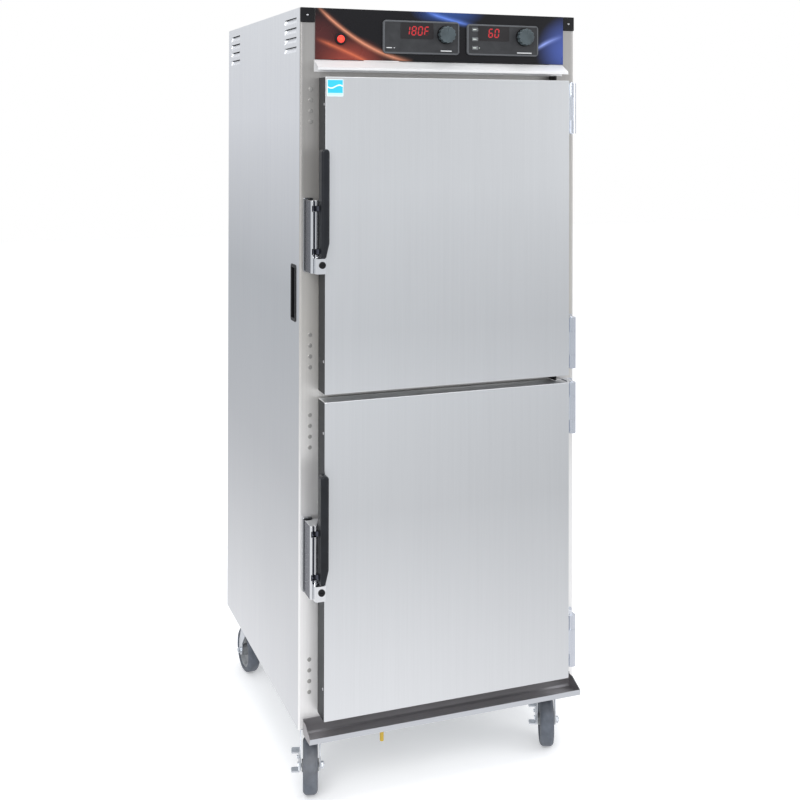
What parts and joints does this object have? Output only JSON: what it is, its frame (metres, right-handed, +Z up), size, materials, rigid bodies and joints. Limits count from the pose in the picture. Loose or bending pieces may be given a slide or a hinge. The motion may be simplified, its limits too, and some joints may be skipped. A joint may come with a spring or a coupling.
{
  "type": "proofing cabinet",
  "caption": "Tall insulated mobile proofing cabinet with two overlay doors, top control fascia, drip trough and braked swivel casters.",
  "frame": {"origin": "on the floor, on the cabinet's centre plane, midway between the latch lever's front and the power plug's back", "axes": "+Z up, +X to the viewer's right when facing the doors, +Y towards the back"},
  "size_m": [0.7599, 0.912, 1.905],
  "materials": {
    "stainless_panel": "vertical brushed grain, satin",
    "stainless_frame": "brushed",
    "stainless_inner": "brushed",
    "lip_steel": "bright polished",
    "black_plastic": "fine moulded",
    "fascia": "gloss overlay",
    "module_plastic": "fine moulded",
    "knob_plastic": "moulded",
    "red_lens": "translucent lit",
    "chrome": "polished",
    "zinc": "bright zinc plate",
    "galvanised": "galvanised",
    "brass": "machined",
    "insulation": "glass fibre",
    "gasket_rubber": "soft extruded",
    "cord_rubber": "matte",
    "wheel": "grey polyurethane tread on a grey core",
    "element": "heat stained",
    "screw_steel": "bright"
  },
  "bodies": {
    "cabinet": {"left_side_panel": "stainless_panel", "right_side_panel": "stainless_panel", "top_panel": "stainless_panel", "back_panel": "galvanised", "base_pan": "galvanised", "front_frame": "stainless_frame", "inner_liner": "stainless_inner", "insulation": "insulation", "header_lip": "lip_steel", "corner_caps": "black_plastic", "hand_grips": "black_plastic", "frame_plugs": "stainless_frame", "latch_strikes": "chrome", "door_stops": "black_plastic", "hinge_frame_leaves": "chrome", "control_fascia": "fascia", "temperature_module": "module_plastic", "humidity_module": "module_plastic", "blower_motor": "galvanised", "heating_element": "element", "air_tunnel": "stainless_inner", "water_pan": "stainless_inner", "slide_posts": "stainless_inner", "slide_rails": "stainless_inner", "drain_valve": "brass", "caster_plates": "zinc", "power_cord": "cord_rubber", "cabinet_screws": "screw_steel"},
    "upper_door": {"upper_door_skin": "stainless_panel", "upper_door_liner": "stainless_inner", "upper_door_insulation": "insulation", "upper_door_gasket": "gasket_rubber", "upper_hinge_leaves": "chrome", "upper_latch_body": "chrome", "upper_latch_lock": "black_plastic"},
    "lower_door": {"lower_door_skin": "stainless_panel", "lower_door_liner": "stainless_inner", "lower_door_insulation": "insulation", "lower_door_gasket": "gasket_rubber", "lower_hinge_leaves": "chrome", "lower_latch_body": "chrome", "lower_latch_lock": "black_plastic"},
    "upper_lever": {"upper_latch_lever": "black_plastic"},
    "lower_lever": {"lower_latch_lever": "black_plastic"},
    "trough": {"drip_trough": "stainless_frame"},
    "button": {"power_button": "red_lens"},
    "temperature_dial": {"temperature_knob": "knob_plastic"},
    "humidity_dial": {"humidity_knob": "knob_plastic"},
    "blower_rotor": {"blower_wheel": "stainless_inner"},
    "drain_lever": {"drain_handle": "black_plastic"},
    "front_left_swivel": {"front_left_fork": "zinc"},
    "front_left_roller": {"front_left_wheel": "wheel"},
    "front_right_swivel": {"front_right_fork": "zinc"},
    "front_right_roller": {"front_right_wheel": "wheel"},
    "rear_left_swivel": {"rear_left_fork": "zinc"},
    "rear_left_roller": {"rear_left_wheel": "wheel"},
    "rear_right_swivel": {"rear_right_fork": "zinc"},
    "rear_right_roller": {"rear_right_wheel": "wheel"},
    "front_left_lock": {"front_left_brake": "zinc"},
    "front_right_lock": {"front_right_brake": "zinc"}
  },
  "joints": [
    {"name": "door_upper", "type": "hinge", "parent": "cabinet", "child": "upper_door", "pos_m": [0.3415, -0.41, 1.358], "axis": [0, 0, 1], "range_deg": [0, 180]},
    {"name": "door_lower", "type": "hinge", "parent": "cabinet", "child": "lower_door", "pos_m": [0.3415, -0.41, 0.584], "axis": [0, 0, 1], "range_deg": [0, 180]},
    {"name": "latch_upper", "type": "hinge", "parent": "upper_door", "child": "upper_lever", "pos_m": [-0.3515, -0.413, 1.372], "axis": [0, 0, -1], "range_deg": [0, 30]},
    {"name": "latch_lower", "type": "hinge", "parent": "lower_door", "child": "lower_lever", "pos_m": [-0.3515, -0.413, 0.604], "axis": [0, 0, -1], "range_deg": [0, 30]},
    {"name": "swivel_front_left", "type": "hinge", "parent": "cabinet", "child": "front_left_swivel", "pos_m": [-0.3235, -0.301, 0.153], "axis": [0, 0, 1], "continuous": true},
    {"name": "wheel_front_left", "type": "hinge", "parent": "front_left_swivel", "child": "front_left_roller", "pos_m": [-0.33397, -0.33753, 0.0635], "axis": [0.9613, -0.2756, 0], "continuous": true},
    {"name": "swivel_front_right", "type": "hinge", "parent": "cabinet", "child": "front_right_swivel", "pos_m": [0.3235, -0.301, 0.153], "axis": [0, 0, 1], "continuous": true},
    {"name": "wheel_front_right", "type": "hinge", "parent": "front_right_swivel", "child": "front_right_roller", "pos_m": [0.30835, -0.33585, 0.0635], "axis": [0.9171, -0.3987, 0], "continuous": true},
    {"name": "swivel_rear_left", "type": "hinge", "parent": "cabinet", "child": "rear_left_swivel", "pos_m": [-0.3235, 0.307, 0.153], "axis": [0, 0, 1], "continuous": true},
    {"name": "wheel_rear_left", "type": "hinge", "parent": "rear_left_swivel", "child": "rear_left_roller", "pos_m": [-0.32615, 0.34491, 0.0635], "axis": [-0.9976, -0.0698, 0], "continuous": true},
    {"name": "swivel_rear_right", "type": "hinge", "parent": "cabinet", "child": "rear_right_swivel", "pos_m": [0.3235, 0.307, 0.153], "axis": [0, 0, 1], "continuous": true},
    {"name": "wheel_rear_right", "type": "hinge", "parent": "rear_right_swivel", "child": "rear_right_roller", "pos_m": [0.32747, 0.34479, 0.0635], "axis": [-0.9945, 0.1045, 0], "continuous": true},
    {"name": "brake_front_left", "type": "hinge", "parent": "front_left_swivel", "child": "front_left_lock", "pos_m": [-0.36096, -0.33187, 0.086], "axis": [0.9613, -0.2756, 0], "range_deg": [-12, 0]},
    {"name": "brake_front_right", "type": "hinge", "parent": "front_right_swivel", "child": "front_right_lock", "pos_m": [0.28233, -0.32672, 0.086], "axis": [0.9171, -0.3987, 0], "range_deg": [-12, 0]},
    {"name": "knob_temperature", "type": "hinge", "parent": "cabinet", "child": "temperature_dial", "pos_m": [0.0045, -0.382, 1.848], "axis": [0, -1, 0], "range_deg": [-150, 150]},
    {"name": "knob_humidity", "type": "hinge", "parent": "cabinet", "child": "humidity_dial", "pos_m": [0.2235, -0.382, 1.848], "axis": [0, -1, 0], "range_deg": [-150, 150]},
    {"name": "power_button_press", "type": "slide", "parent": "cabinet", "child": "button", "axis": [0, 1, 0], "range_m": [0, 0.003]},
    {"name": "drain_quarter_turn", "type": "hinge", "parent": "cabinet", "child": "drain_lever", "pos_m": [-0.1415, -0.34, 0.132], "axis": [0, 1, 0], "range_deg": [0, 90]},
    {"name": "rotor_blower", "type": "hinge", "parent": "cabinet", "child": "blower_rotor", "pos_m": [0, 0.357, 1.59], "axis": [0, 1, 0], "continuous": true},
    {"name": "trough_lift", "type": "slide", "parent": "cabinet", "child": "trough", "axis": [0, -1, 0], "range_m": [0, 0.12]}
  ]
}
